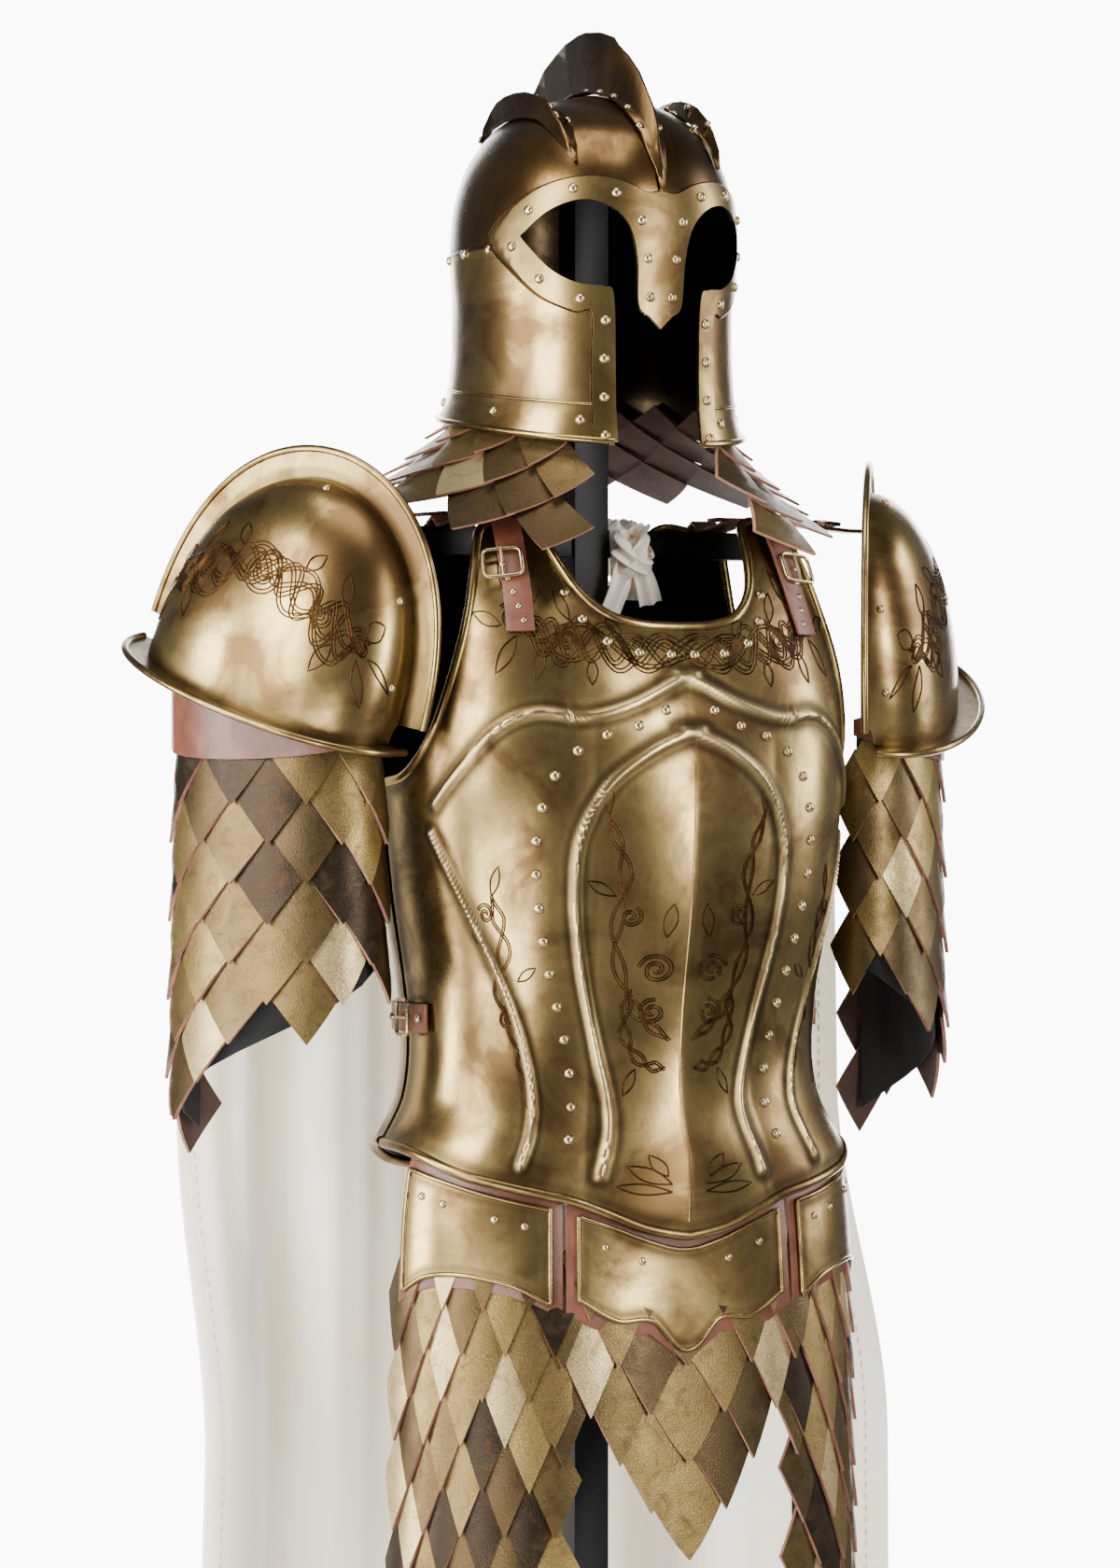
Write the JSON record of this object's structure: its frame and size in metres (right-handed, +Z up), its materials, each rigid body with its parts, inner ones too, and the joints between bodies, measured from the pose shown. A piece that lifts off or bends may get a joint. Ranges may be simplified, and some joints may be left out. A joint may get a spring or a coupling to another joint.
{
  "type": "suit of armour on a display stand",
  "caption": "Half suit of armour in antique brass with leather scale sleeves and skirts and a long cotton cloak, hung on a plain black steel display stand.",
  "frame": {"origin": "centre of the underside of the stand's base plate, on the floor", "axes": "+Z up, -Y the way the armour faces, -X the wearer's right"},
  "size_m": [0.738, 0.4032, 1.8828],
  "materials": {
    "antique_brass": "satin",
    "scale_leather": "satin",
    "brown_leather": "satin",
    "black_cloth": "matte",
    "cream_cotton": "matte",
    "black_steel": "satin"
  },
  "bodies": {
    "root": {"helm": "antique_brass", "helm_band": "antique_brass", "helm_comb": "antique_brass", "helm_rib_right": "antique_brass", "helm_rib_left": "antique_brass", "breastplate": "antique_brass", "backplate": "antique_brass", "tasset_front": "antique_brass", "tasset_right": "antique_brass", "tasset_left": "antique_brass", "pauldron_right": "antique_brass", "pauldron_left": "antique_brass", "aventail": "scale_leather", "sleeve_right": "scale_leather", "sleeve_left": "scale_leather", "skirt_front": "scale_leather", "skirt_right": "scale_leather", "skirt_left": "scale_leather", "tasset_front_leather": "brown_leather", "tasset_right_leather": "brown_leather", "tasset_left_leather": "brown_leather", "shoulder_strap_right": "brown_leather", "shoulder_strap_left": "brown_leather", "side_strap_right": "brown_leather", "side_strap_left": "brown_leather", "arm_cap_right": "brown_leather", "arm_cap_left": "brown_leather", "pauldron_strap_right": "brown_leather", "pauldron_strap_left": "brown_leather", "sleeve_backing_right": "black_cloth", "sleeve_backing_left": "black_cloth", "skirt_front_backing": "black_cloth", "skirt_right_backing": "black_cloth", "skirt_left_backing": "black_cloth", "cloak": "cream_cotton", "cloak_tie": "cream_cotton", "stand": "black_steel"}
  },
  "joints": []
}
